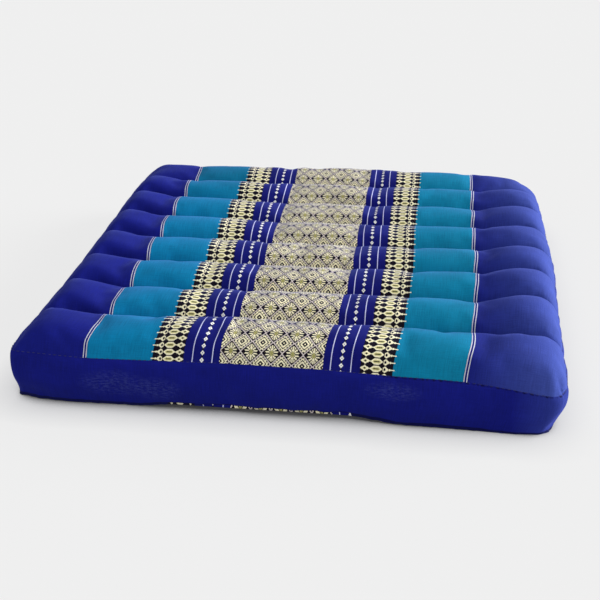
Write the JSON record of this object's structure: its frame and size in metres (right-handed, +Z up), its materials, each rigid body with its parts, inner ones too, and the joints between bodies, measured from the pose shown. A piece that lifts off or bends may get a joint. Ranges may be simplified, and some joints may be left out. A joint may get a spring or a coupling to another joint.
{
  "type": "picnic cushion",
  "caption": "Square kapok-filled floor cushion, sewn across into channels, with a plain band round its sides and a woven striped cloth of flowers and diamonds on both faces.",
  "frame": {"origin": "middle of the underside, on the floor", "axes": "+X along the sewn channels, +Y across them, +Z up"},
  "size_m": [0.5, 0.5, 0.08],
  "materials": {
    "woven_cloth": "plain-woven cotton, matt, with woven stripes, flowers and diamonds in cream on dark blue and turquoise"
  },
  "bodies": {
    "root": {"cushion": "woven_cloth"}
  },
  "joints": []
}
